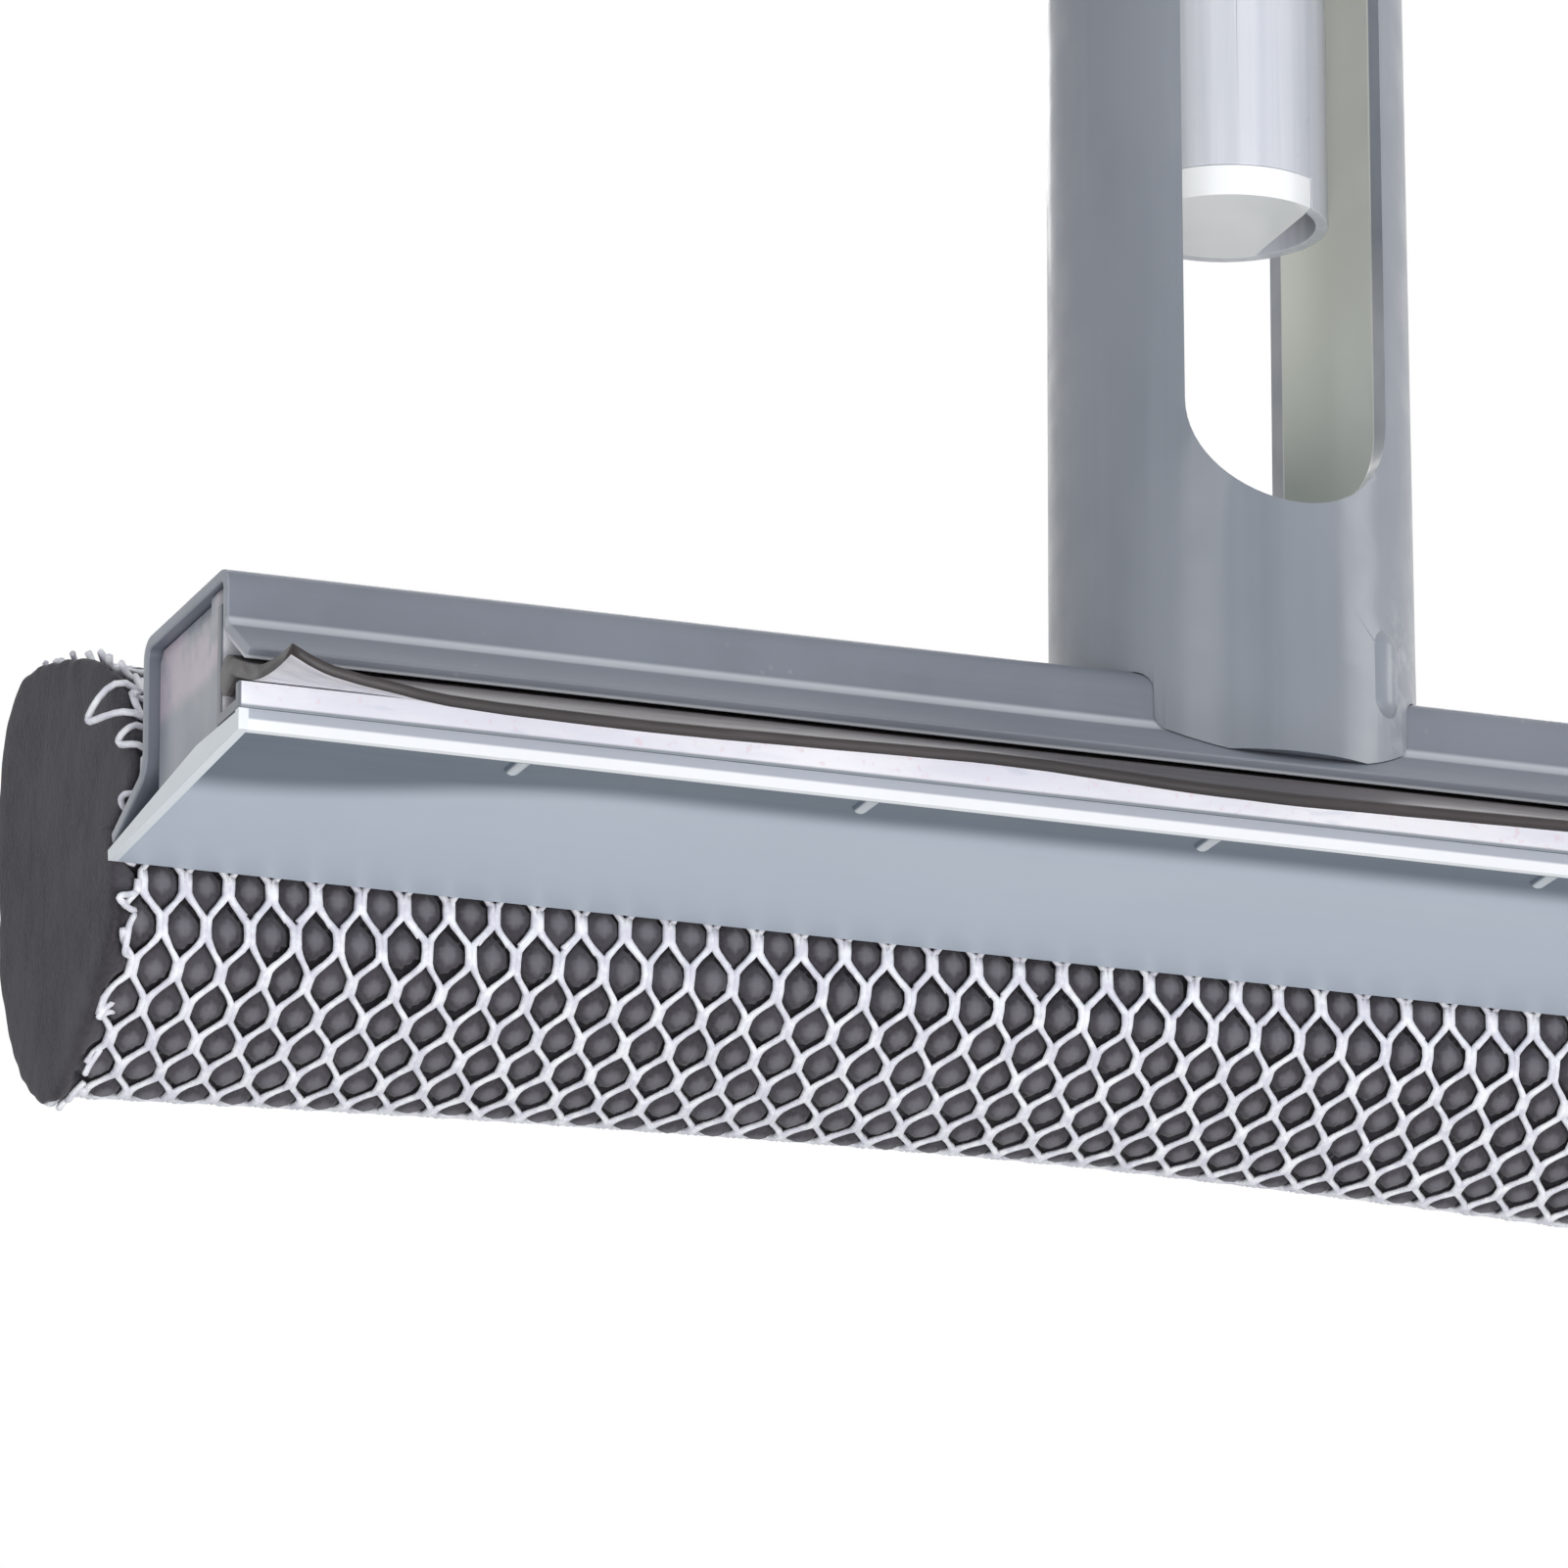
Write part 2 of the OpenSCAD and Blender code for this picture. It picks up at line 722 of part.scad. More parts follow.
// Grip pin: a cross pin through grip, pole and cap
module grip_pin() {
    color("#b9bdc2")
        hung()
            translate([0, 0, grip_pin_z])
                rotate([90, 0, 0])
                    cylinder(d = grip_pin_d, h = grip_d - 2 * grip_pin_inset, center = true);
}

head_shell();
tray_plate();
blade_jaw();
rubber_blade();
left_end_cap();
right_end_cap();
foam_sponge();
net_sleeve();
net_clamp_strip();
clamp_rivets();
handle_socket();
socket_backing_plate();
socket_screws();
socket_bush();
pole_tube();
pole_end_plug();
pole_stop_collar();
grip_sleeve();
grip_cap();
grip_pin();
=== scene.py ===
import math

import bpy
import numpy as np
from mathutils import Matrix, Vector, noise


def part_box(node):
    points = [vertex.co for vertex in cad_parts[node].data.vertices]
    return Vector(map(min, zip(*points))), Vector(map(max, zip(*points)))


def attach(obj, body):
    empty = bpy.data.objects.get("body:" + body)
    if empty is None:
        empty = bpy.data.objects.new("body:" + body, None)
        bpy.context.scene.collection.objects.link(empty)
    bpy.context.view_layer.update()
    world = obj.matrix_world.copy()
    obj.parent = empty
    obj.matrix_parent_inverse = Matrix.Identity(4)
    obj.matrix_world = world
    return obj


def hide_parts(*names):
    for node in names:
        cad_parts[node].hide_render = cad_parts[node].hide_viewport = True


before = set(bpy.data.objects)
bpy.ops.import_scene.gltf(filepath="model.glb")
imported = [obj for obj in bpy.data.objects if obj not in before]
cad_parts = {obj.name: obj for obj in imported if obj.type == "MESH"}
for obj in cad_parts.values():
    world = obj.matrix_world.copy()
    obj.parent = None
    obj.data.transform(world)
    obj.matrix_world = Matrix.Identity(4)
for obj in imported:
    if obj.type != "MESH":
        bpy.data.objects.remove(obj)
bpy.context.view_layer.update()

rng = np.random.RandomState(11)

# Head coordinates, in mm: X along the head, Y back to the sponge, Z up from the front rim's bottom
TOP_Z = 16.6
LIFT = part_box("head_shell")[1][2] * 1000 - TOP_Z
HALF = 101.6


def frame_point(x, y, z):
    """Head coordinates in mm to the frame's metres, for one point."""
    return Vector((x, y, z + LIFT)) / 1000


def in_frame(points):
    """The same for an array of points."""
    return (np.asarray(points, dtype=float) + [0, 0, LIFT]) / 1000


# Camera: fitted to the photograph, from the front, left and below
AIM = frame_point(-44.3, 0, 5.5)
AZIMUTH, ELEVATION, ROLL = math.radians(-20.6), math.radians(-17.4), math.radians(-0.1)
CAMERA_REACH, LENS, SENSOR = 1.25, 315, 36
back = Vector((math.sin(AZIMUTH) * math.cos(ELEVATION), -math.cos(AZIMUTH) * math.cos(ELEVATION),
               math.sin(ELEVATION)))
camera_data = bpy.data.cameras.new("camera")
camera_data.sensor_width = SENSOR
camera_data.lens = LENS
camera = bpy.data.objects.new("camera", camera_data)
camera.location = AIM + back * CAMERA_REACH
camera.rotation_euler = back.to_track_quat("Z", "Y").to_matrix().to_euler()
camera.rotation_euler.rotate_axis("Z", ROLL)
bpy.context.scene.collection.objects.link(camera)
bpy.context.scene.camera = camera


# Meshes
def new_object(name, points, faces):
    """A smooth-shaded mesh object from points in metres."""
    mesh = bpy.data.meshes.new(name)
    mesh.from_pydata([tuple(p) for p in points], [], faces)
    mesh.polygons.foreach_set("use_smooth", [True] * len(mesh.polygons))
    mesh.update()
    obj = bpy.data.objects.new(name, mesh)
    bpy.context.scene.collection.objects.link(obj)
    return obj


def grid_faces(rows, columns, closed=True, first=0):
    """Quads between rows of points. A closed row joins its last point to its first."""
    i, k = np.meshgrid(np.arange(rows - 1), np.arange(columns if closed else columns - 1), indexing="ij")
    a, b = i * columns + k, i * columns + (k + 1) % columns
    return (np.stack([a, b, b + columns, a + columns], axis=-1).reshape(-1, 4) + first).tolist()


def noise_at(points, size, seed=0.0):
    """Smooth noise from -1 to 1 at points in mm, with features of the given size."""
    shift = Vector((seed * 17.3, seed * 5.1, seed * 9.7))
    return np.array([noise.noise(Vector(p) / size + shift) for p in points])


# Foam section, the same formula as the CAD solid, and its place by arc length
SHELL_FLARE_Z, BACK_FOOT_Z, FOAM_LIFT = 0.9, 4.5, 1.6
FOAM_FRONT, FOAM_LIP, FOAM_DEPTH, FOAM_HEIGHT = 16.5, 23.8, 41.4, 36
FOAM_MID_Y, FOAM_MID_Z = FOAM_FRONT + FOAM_DEPTH / 2, 2.4
FLARE, PRESS, REST, CROWN = 3.4, 1.0, 1.0, 1.6
LEAN, TILT, HEEL = 2.7, 5.2, 3.8
TOP_POWER, LOW_POWER = 3.3, 1.55
STATIONS, AROUND = 203, 480
STATION_REACH = 101.0


def foam_limit(z, grow):
    """The least Y of the foam at a height, where it leans on the shell's flared back wall."""
    high, low = BACK_FOOT_Z + FOAM_LIFT, SHELL_FLARE_Z + FOAM_LIFT
    share = np.clip((high - z) / (high - low), 0, 1)
    return FOAM_FRONT + share * (FOAM_LIP - FOAM_FRONT) - grow


def foam_section(x, grow, count):
    """Points of one section, evenly spaced by arc length from the middle of the side next to the head."""
    angle = np.radians(np.linspace(180, 540, 1441))
    c, s = np.cos(angle), np.sin(angle)
    power = np.where(s > 0, TOP_POWER, LOW_POWER)
    sx = np.sign(c) * np.abs(c) ** (2 / power)
    sz = np.sign(s) * np.abs(s) ** (2 / power)
    low = FOAM_HEIGHT / 2 + FLARE * (abs(x) / HALF) ** 1.6 - REST
    z = FOAM_MID_Z + sz * (np.where(sz < 0, low, FOAM_HEIGHT / 2 + CROWN) + grow)
    z += np.where(sz > 0, TILT * sx * sz, 0)
    y = FOAM_MID_Y + sx * ((FOAM_DEPTH + PRESS - LEAN) / 2 + grow) - PRESS / 2
    y += np.where(sz > 0, LEAN, -HEEL) * sz
    y = np.maximum(y, foam_limit(z, grow))
    run = np.concatenate([[0], np.cumsum(np.hypot(np.diff(y), np.diff(z)))])
    at = np.linspace(0, run[-1], count + 1)[:-1]
    return np.interp(at, run, y), np.interp(at, run, z), run[-1]


station_x = np.linspace(-STATION_REACH, STATION_REACH, STATIONS)
skin = np.zeros((STATIONS, AROUND, 2))
girth = np.zeros(STATIONS)
for i, x in enumerate(station_x):
    skin[i, :, 0], skin[i, :, 1], girth[i] = foam_section(x, 0, AROUND)
tangent = np.roll(skin, -1, axis=1) - np.roll(skin, 1, axis=1)
for _ in range(3):
    tangent = (np.roll(tangent, 1, axis=1) + tangent + np.roll(tangent, -1, axis=1)) / 3
tangent /= np.linalg.norm(tangent, axis=2, keepdims=True)
outward = np.stack([-tangent[:, :, 1], tangent[:, :, 0]], axis=2)
middle = skin.mean(axis=1, keepdims=True)
outward *= np.sign(((skin - middle) * outward).sum(axis=2, keepdims=True).mean())


def sampled(field, x, turn):
    """Bilinear lookup in a station grid at X in mm and a share of the way round."""
    u = np.clip((np.asarray(x) + STATION_REACH) / (2 * STATION_REACH), 0, 1) * (STATIONS - 1)
    v = (np.asarray(turn) % 1) * AROUND
    i, k = np.minimum(u.astype(int), STATIONS - 2), v.astype(int) % AROUND
    fu, fv, k2 = (u - i)[..., None], (v - v.astype(int))[..., None], (k + 1) % AROUND
    low = field[i, k] * (1 - fv) + field[i, k2] * fv
    high = field[i + 1, k] * (1 - fv) + field[i + 1, k2] * fv
    return low * (1 - fu) + high * fu


def on_foam(x, turn, height):
    """A point over the foam's surface: X in mm, a share of the way round, and a height in mm."""
    base, out = sampled(skin, x, turn), sampled(outward, x, turn)
    place = base + out * np.asarray(height)[..., None]
    return np.stack([np.asarray(x, dtype=float), place[..., 0], place[..., 1]], axis=-1)


# Net pattern, in mm on the unrolled surface: straight double strands round the foam, diagonals between
PITCH, ROW, STRAIGHT = 4.29, 3.88, 1.8
RISE = ROW - STRAIGHT
ROWS = 2 * int(round(girth.mean() / ROW / 2))
ROW_START = 4.8
FIRST_COLUMN, LAST_COLUMN = -23, 22
WIDE, TIGHT, COLUMN_SHIFT = 4.36, 1.1, 0.95


def knit_x(u):
    """X in mm of a column of the net: wide in the middle of the head, drawn in towards its ends."""
    return COLUMN_SHIFT + WIDE * u - TIGHT * (u / FIRST_COLUMN) ** 2 * u / -FIRST_COLUMN


NET_LEFT, NET_RIGHT = knit_x(FIRST_COLUMN - 0.5), knit_x(LAST_COLUMN + 0.5)


def cell_depth(x, run):
    """Distance in mm from the nearest strand of the honeycomb, for arrays of places on the surface."""
    best = np.full(np.shape(x), -9.0)
    slope = math.hypot(RISE, PITCH / 2)
    for shift in (-1, 0, 1):
        row = np.round(run / ROW) + shift
        half = 0.5 * (row % 2)
        dx = np.abs(x - (np.round(x / PITCH - 0.5 - half) + 0.5 + half) * PITCH)
        dv = np.abs(run - row * ROW)
        lean = (RISE * PITCH / 2 + PITCH / 2 * STRAIGHT / 2 - RISE * dx - PITCH / 2 * dv) / slope
        best = np.maximum(best, np.minimum(PITCH / 2 - dx, lean))
    return best


FOAM_X, FOAM_TURN = 315, 212
FOAM_REACH, END_BULGE, BARE_SWELL = 100.7, 0.8, 0.9
SWELL, SINK = 1.7, 1.0
# The rounded ends: share of the section kept and share of END_BULGE reached, ring by ring
END_RINGS = ((0.99, 0.55), (0.965, 0.85), (0.92, 1.0), (0.84, 1.0), (0.72, 0.95), (0.58, 0.95), (0.44, 0.9),
             (0.3, 0.9), (0.15, 0.9))


def under_net(x):
    """1 where the net holds the foam down, falling to 0 at its bare ends."""
    share = np.clip(0.25 + np.minimum(x - NET_LEFT, NET_RIGHT - x) / 1.4, 0, 1)
    return share * share * (3 - 2 * share)


def bare_swell(x, turn):
    """How far the foam's bare ends stand out, most at the bottom."""
    bottom = np.exp(-((turn % 1 - 0.27) / 0.09) ** 2)
    return (1 - under_net(x)) * BARE_SWELL * (1 + 0.5 * bottom)


# Foam pad: the CAD section, swelling through each cell of the net, with soft cut ends
xs = np.linspace(-FOAM_REACH, FOAM_REACH, FOAM_X)
turns = np.arange(FOAM_TURN) / FOAM_TURN
gx, gt = np.meshgrid(xs, turns, indexing="ij")
columns = np.arange(FIRST_COLUMN - 3, LAST_COLUMN + 4, 0.25)
gu = np.interp(gx, knit_x(columns), columns)
depth = cell_depth(gu * PITCH, gt * ROWS * ROW - ROW_START)
swell = np.clip((depth - 0.2) / (PITCH / 2 - 0.2), 0, 1)
swell = np.sqrt(1 - (1 - swell) ** 2)
netted = under_net(gx)
height = netted * (SWELL * swell - SINK) + bare_swell(gx, gt)
flat = on_foam(gx, gt, np.zeros_like(gx)).reshape(-1, 3)
height += 0.35 * noise_at(flat, 24, 1).reshape(gx.shape)
height += 0.1 * noise_at(flat, 2.2, 2).reshape(gx.shape) * (1 + 2.4 * (1 - netted))
body = on_foam(gx, gt, height)


def foam_end(side):
    """Rings that round the cut end over and close it, from the outside in."""
    rings = []
    edge = on_foam(np.full(FOAM_TURN, side * FOAM_REACH), turns, height[0 if side < 0 else -1])
    centre = edge.mean(axis=0)
    for share, out in END_RINGS:
        ring = centre + (edge - centre) * share
        ring[:, 0] = side * (FOAM_REACH + END_BULGE * out)
        rough = 0.16 * noise_at(ring, 3.1, 3) + 0.3 * noise_at(ring, 10.0, 4)
        ring[:, 0] += side * (rough - 0.2) * out * END_BULGE
        rings.append(ring)
    return rings, centre + [side * END_BULGE * 0.8, 0, 0]


left, left_mid = foam_end(-1)
right, right_mid = foam_end(1)
rings = list(reversed(left)) + list(body) + right
points = np.concatenate(rings + [[left_mid], [right_mid]])
faces = grid_faces(len(rings), FOAM_TURN)
last = (len(rings) - 1) * FOAM_TURN
ends = len(rings) * FOAM_TURN
faces += [[(k + 1) % FOAM_TURN, k, ends] for k in range(FOAM_TURN)]
faces += [[last + k, last + (k + 1) % FOAM_TURN, ends + 1] for k in range(FOAM_TURN)]
foam = new_object("foam_pad", in_frame(points), faces)
# How far each point swells out of its cell, for the foam's painted shade and painted highlights: 0.5 where
# the foam is bare
pad_tone = np.concatenate([np.full(len(left) * FOAM_TURN, 0.5),
                           (netted * swell + (1 - netted) * 0.5).reshape(-1),
                           np.full(len(right) * FOAM_TURN + 2, 0.5)])
foam.data.attributes.new("swell", "FLOAT", "POINT").data.foreach_set("value", pad_tone)


# Tubes along many paths
def tubes(name, paths, sides=5):
    """One mesh of closed tubes. Each path is (points in mm, up vectors, radii in mm)."""
    points, faces, first = [], [], 0
    angle = np.arange(sides) * 2 * math.pi / sides
    for line, up, radius in paths:
        along = np.gradient(line, axis=0)
        along /= np.linalg.norm(along, axis=1, keepdims=True) + 1e-9
        side = np.cross(along, up)
        side /= np.linalg.norm(side, axis=1, keepdims=True) + 1e-9
        over = np.cross(along, side)
        ring = (side[:, None] * np.cos(angle)[None, :, None] + over[:, None] * np.sin(angle)[None, :, None])
        points.append((line[:, None] + ring * radius[:, None, None]).reshape(-1, 3))
        faces += grid_faces(len(line), sides, True, first)
        faces.append(list(range(first + sides - 1, first - 1, -1)))
        faces.append(list(range(first + (len(line) - 1) * sides, first + len(line) * sides)))
        first += len(line) * sides
    return new_object(name, in_frame(np.concatenate(points)), faces)


# Knitted net: zigzag strands that lie side by side in the straights and part in the diagonals
STRAND, STRAND_LIFT = 0.34, 0.45
SIDE, TWIST, DIP = 0.19, 0.08, 0.08
# Thickness at the six points of a row: three in the straight, three in the diagonal
THICK = (1.14, 1.12, 1.14, 1.0, 0.88, 1.0)
ROW_POINTS = len(THICK)
CUT_CHANCE, LOOSE_ENDS = 0.2, 26


def zigzag(column, lean):
    """One strand the whole way round: places (x, run, height) in mm. It leans right or left first."""
    path = []
    for row in range(ROWS + 1):
        x = knit_x(column + lean * 0.5 * (row % 2))
        toward = lean if row % 2 == 0 else -lean
        for share in (0, 0.5, 1):
            path.append((x + toward * SIDE, row * ROW + (share - 0.5) * STRAIGHT,
                         STRAND_LIFT + lean * TWIST * math.sin(math.pi * share)))
        nxt = knit_x(column + lean * 0.5 * ((row + 1) % 2))
        for share in (0.2, 0.5, 0.8):
            path.append((x + (nxt - x) * share + toward * SIDE * (1 - 2 * share),
                         row * ROW + STRAIGHT / 2 + RISE * share, STRAND_LIFT - DIP))
    return np.array(path)


def laid(path, radius):
    """A path of (x, run, height) put on the foam, slightly uneven."""
    x, run, lift = path[:, 0], path[:, 1], path[:, 2]
    spot = np.stack([x, run, lift], axis=1)
    x = x + 0.22 * noise_at(spot, 7.0, 5) + 0.10 * noise_at(spot, 2.0, 6)
    run = run + 0.25 * noise_at(spot, 8.0, 7)
    turn = (run + ROW_START) / (ROWS * ROW)
    line = on_foam(x, turn, lift + bare_swell(x, turn))
    out = sampled(outward, x, turn)
    up = np.stack([np.zeros(len(x)), out[:, 0], out[:, 1]], axis=1)
    line[1:-1] = (line[:-2] + 10 * line[1:-1] + line[2:]) / 12
    return line, up, radius * (1 + 0.14 * noise_at(spot, 1.7, 8))


strands = []
for column in range(FIRST_COLUMN, LAST_COLUMN + 1):
    for lean in (-1, 1):
        path = zigzag(column, lean)
        outermost = (column, lean) in ((FIRST_COLUMN, -1), (LAST_COLUMN, 1))
        keep = np.ones(len(path), dtype=bool)
        for start in range(0, len(path), ROW_POINTS):
            if outermost and rng.rand() < CUT_CHANCE:
                keep[start + rng.randint(0, 3):start + ROW_POINTS + rng.randint(-1, 3)] = False
        cuts = np.flatnonzero(np.diff(np.concatenate([[0], keep.astype(int), [0]])))
        for start, stop in zip(cuts[::2], cuts[1::2]):
            if stop - start > 3:
                piece = path[start:stop].copy()
                if start > 0:
                    piece[0, 2] += 0.5
                if stop < len(path):
                    piece[-1, 2] += 0.6
                strands.append(laid(piece, STRAND * np.take(THICK, np.arange(start, stop) % ROW_POINTS)))

# Loose loops and cut ends at the net's two raw edges
for side in (-1, 1):
    for number in range(LOOSE_ENDS):
        turn = (number + rng.rand()) / LOOSE_ENDS
        start = turn * ROWS * ROW
        show = 0.25 + 0.75 * math.cos(math.pi * turn) ** 2
        span = 1.0 + 3.6 * rng.rand() ** 2
        reach = 0.5 + 1.9 * rng.rand() * show
        lift = 0.3 + 1.3 * rng.rand() * show
        stop = 1.0 if rng.rand() < 0.6 else 0.55
        share = np.linspace(0, stop, 11)
        edge = abs(NET_LEFT if side < 0 else NET_RIGHT)
        loop = np.stack([side * (edge - 1.6 + reach * np.sin(math.pi * share)),
                         start + span * (share - 0.5) + 0.5 * np.sin(3 * share),
                         STRAND_LIFT + lift * np.sin(math.pi * share)], axis=1)
        strands.append(laid(loop, np.full(len(loop), STRAND * 0.92)))

# Wide loops of the left raw edge over the foam's end: share of the way round, then span, reach, drop in mm
for turn, span, reach, drop in ((0.883, 4.6, 4.7, 3.4), (0.92, 2.4, 3.1, 1.6), (0.965, 2.6, 2.4, 0.6)):
    share = np.linspace(0, 1, 15)
    out = np.sin(math.pi * share)
    loop = np.stack([NET_LEFT + 1.4 - reach * out ** 0.7,
                     turn * ROWS * ROW - ROW_START - span / 2 * np.cos(math.pi * share),
                     STRAND_LIFT - drop * out ** 3], axis=1)
    strands.append(laid(loop, np.full(len(loop), STRAND)))
net = tubes("net_knit", strands)


# Rubber blade: held by its bead in the jaw, with a slight wave and its corners curled up
blade_low, blade_high = [np.array(corner) * 1000 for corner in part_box("rubber_blade")]
BEAD_R, BEAD_SINK = 1.9, 0.8
root = np.array([blade_high[1] - BEAD_R, blade_high[2] - LIFT - BEAD_R + BEAD_SINK])
EDGE_HALF, ROOT_HALF, EDGE_CROWN = 0.5, 0.8, 0.16
JAW_DEPTH, FINE_FROM = 7.5, 84
SIDE_STEPS = 16
tip = np.array([blade_low[1] + 0.18, blade_low[2] - LIFT + 0.47])
lean = (tip - root) / np.linalg.norm(tip - root)
rise = np.array([lean[1], -lean[0]])
length = np.linalg.norm(tip - root)
# Height of the blade's edge over its straight line, read along the photograph's blade: (X, mm)
WAVE = [(-101.6, 3.3), (-99.8, 2.3), (-98.2, 1.65), (-95.5, 1.1), (-92.7, 0.7), (-90, 0.25), (-87.2, -0.05),
        (-81.7, -0.3), (-70, -0.4), (-62, -0.35), (-54, -0.15), (-45, 0.02), (-37, 0.2), (-30, 0.1),
        (-24, -0.15), (-15, -0.5), (-5, -0.55), (3, -0.4), (14, -0.2), (30, 0), (45, 0.1), (60, -0.15),
        (75, -0.3), (86, -0.1), (93, 0.4), (98, 1.1), (101.6, 1.9)]


def blade_profile():
    """Closed outline from the bead along the underside and back along the top, with each edge's material
    slot: (distance along the blade, height over its middle line) and 0 rubber, 1 the underside, pale as a
    painted reflection, 2 the top, in lighter rubber as painted light."""
    outline, slots = [], []

    def side_points(shares, sign):
        return [(length * share, sign * (ROOT_HALF + (EDGE_HALF - ROOT_HALF) * share)) for share in shares]

    bead = [math.radians(degrees) for degrees in range(60, 316, 25)]
    for slot, part in (
            (0, [(BEAD_R * math.cos(a), BEAD_R * math.sin(a) - BEAD_SINK) for a in bead]),
            (1, side_points([k / SIDE_STEPS for k in range(2, SIDE_STEPS)], -1)),
            (0, [(length + EDGE_CROWN * (1 - h * h), h * EDGE_HALF) for h in (-1, -0.75, 0, 0.75, 1)]),
            (2, side_points([k / SIDE_STEPS for k in range(SIDE_STEPS - 1, 0, -1)], 1))):
        outline += part
        slots += [slot] * len(part)
    return np.array(outline), slots


outline, slots = blade_profile()
around = len(outline)
blade_x = np.concatenate([np.linspace(-HALF, -FINE_FROM, 24), np.linspace(2 - FINE_FROM, FINE_FROM - 2, 83),
                          np.linspace(FINE_FROM, HALF, 24)])
rows = []
for x in blade_x:
    free = np.clip((outline[:, 0] - JAW_DEPTH) / (length - JAW_DEPTH), 0, 1)
    wave = np.interp(x, [w[0] for w in WAVE], [w[1] for w in WAVE]) * free ** 1.5
    nick = 0.12 * noise.noise(Vector((x / 5.0, 3.1, 0.7))) * free ** 4
    place = root + outline[:, :1] * lean + outline[:, 1:] * rise
    place = place + np.stack([np.maximum(wave, 0) * 0.2 + nick, wave], axis=1)
    rows.append(np.column_stack([np.full(around, x), place]))
faces = grid_faces(len(rows), around)
sides = len(faces)
faces.append(list(range(around - 1, -1, -1)))
faces.append(list(range((len(rows) - 1) * around, len(rows) * around)))
faces = [face[::-1] for face in faces]
blade = new_object("blade_rubber", in_frame(np.concatenate(rows)), faces)
blade.data.polygons.foreach_set("material_index", [slots[k % around] if k < sides else 0
                                                   for k in range(len(faces))])

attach(foam, "head")
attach(net, "head")
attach(blade, "blade")
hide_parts("foam_sponge")
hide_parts("net_sleeve")
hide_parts("rubber_blade")


# Materials. Numbers in masks are head coordinates in mm
ALONG_HEAD = (0.05, 1, 1)
SOCKET_BORE = 14.9


def srgb(r, g, b):
    """A colour written as in the photograph, 0 to 255, to scene values."""
    linear = [c / 255 / 12.92 if c <= 10.31 else ((c / 255 + 0.055) / 1.055) ** 2.4 for c in (r, g, b)]
    return tuple(linear) + (1,)


class Finish:
    """A node material with object coordinates in mm, on head axes."""

    def __init__(self, name, rough=0.5, metal=0.0, coat=0.0, coat_rough=0.1, sheen=0.0, specular=0.5):
        self.material = bpy.data.materials.new(name)
        self.material.use_nodes = True
        self.tree = self.material.node_tree
        self.shader = self.tree.nodes["Principled BSDF"]
        for key, value in (("Roughness", rough), ("Metallic", metal), ("Coat Weight", coat),
                           ("Coat Roughness", coat_rough), ("Sheen Weight", sheen),
                           ("Specular IOR Level", specular)):
            self.shader.inputs[key].default_value = value
        where = self.node("ShaderNodeTexCoord")
        scale = self.node("ShaderNodeVectorMath", operation="MULTIPLY_ADD")
        self.tree.links.new(where.outputs["Object"], scale.inputs[0])
        scale.inputs[1].default_value = (1000, 1000, 1000)
        scale.inputs[2].default_value = (0, 0, -LIFT)
        self.place = scale.outputs[0]
        split = self.node("ShaderNodeSeparateXYZ")
        self.tree.links.new(self.place, split.inputs[0])
        self.axes = split.outputs

    def node(self, kind, **settings):
        made = self.tree.nodes.new(kind)
        for key, value in settings.items():
            setattr(made, key, value)
        return made

    def put(self, socket, value):
        if isinstance(value, bpy.types.NodeSocket):
            self.tree.links.new(value, socket)
        else:
            socket.default_value = value

    def stretched(self, along):
        """The place with each axis multiplied, for streaks and grain."""
        made = self.node("ShaderNodeVectorMath", operation="MULTIPLY")
        self.put(made.inputs[0], self.place)
        made.inputs[1].default_value = along
        return made.outputs[0]

    def noise(self, size, detail=3.0, rough=0.5, along=None):
        """Clouds with features of about the size in mm, longer on an axis that along makes less than 1."""
        made = self.node("ShaderNodeTexNoise")
        self.put(made.inputs["Vector"], self.stretched(along) if along else self.place)
        for key, value in (("Scale", 1 / size), ("Detail", detail), ("Roughness", rough)):
            made.inputs[key].default_value = value
        return made.outputs["Fac"]

    def cells(self, size):
        """Distance from the nearest of many scattered points, for pores and specks."""
        made = self.node("ShaderNodeTexVoronoi")
        self.put(made.inputs["Vector"], self.place)
        made.inputs["Scale"].default_value = 1 / size
        return made.outputs["Distance"]

    def ramp(self, value, low, high, to_low=0.0, to_high=1.0):
        """A smooth step from to_low to to_high while the value goes from low to high."""
        made = self.node("ShaderNodeMapRange", interpolation_type="SMOOTHSTEP")
        for key, part in zip(("Value", "From Min", "From Max", "To Min", "To Max"),
                             (value, low, high, to_low, to_high)):
            self.put(made.inputs[key], part)
        return made.outputs["Result"]

    def math(self, operation, a, b=0.0, c=0.0):
        made = self.node("ShaderNodeMath", operation=operation)
        self.put(made.inputs[0], a)
        self.put(made.inputs[1], b)
        self.put(made.inputs[2], c)
        return made.outputs[0]

    def times(self, first, *others):
        for other in others:
            first = self.math("MULTIPLY", first, other)
        return first

    def mix(self, share, a, b):
        made = self.node("ShaderNodeMix", data_type="RGBA")
        self.put(made.inputs["Factor"], share)
        self.put(made.inputs[6], a)
        self.put(made.inputs[7], b)
        return made.outputs[2]

    def tint(self, tone, colour, *share):
        """The tone, turned towards a colour by the product of the shares."""
        return self.mix(self.times(*share), tone, colour)

    @property
    def tone(self):
        """What now feeds the base colour, to paint more on it."""
        return self.shader.inputs["Base Color"].links[0].from_socket

    def color(self, value):
        self.put(self.shader.inputs["Base Color"], value)

    def rough(self, value):
        self.put(self.shader.inputs["Roughness"], value)

    def bump(self, height, distance=0.1, strength=0.5, after=None):
        made = self.node("ShaderNodeBump")
        made.inputs["Strength"].default_value = strength
        made.inputs["Distance"].default_value = distance / 1000
        self.put(made.inputs["Height"], height)
        if after:
            self.put(made.inputs["Normal"], after)
        self.put(self.shader.inputs["Normal"], made.outputs[0])
        return made.outputs[0]


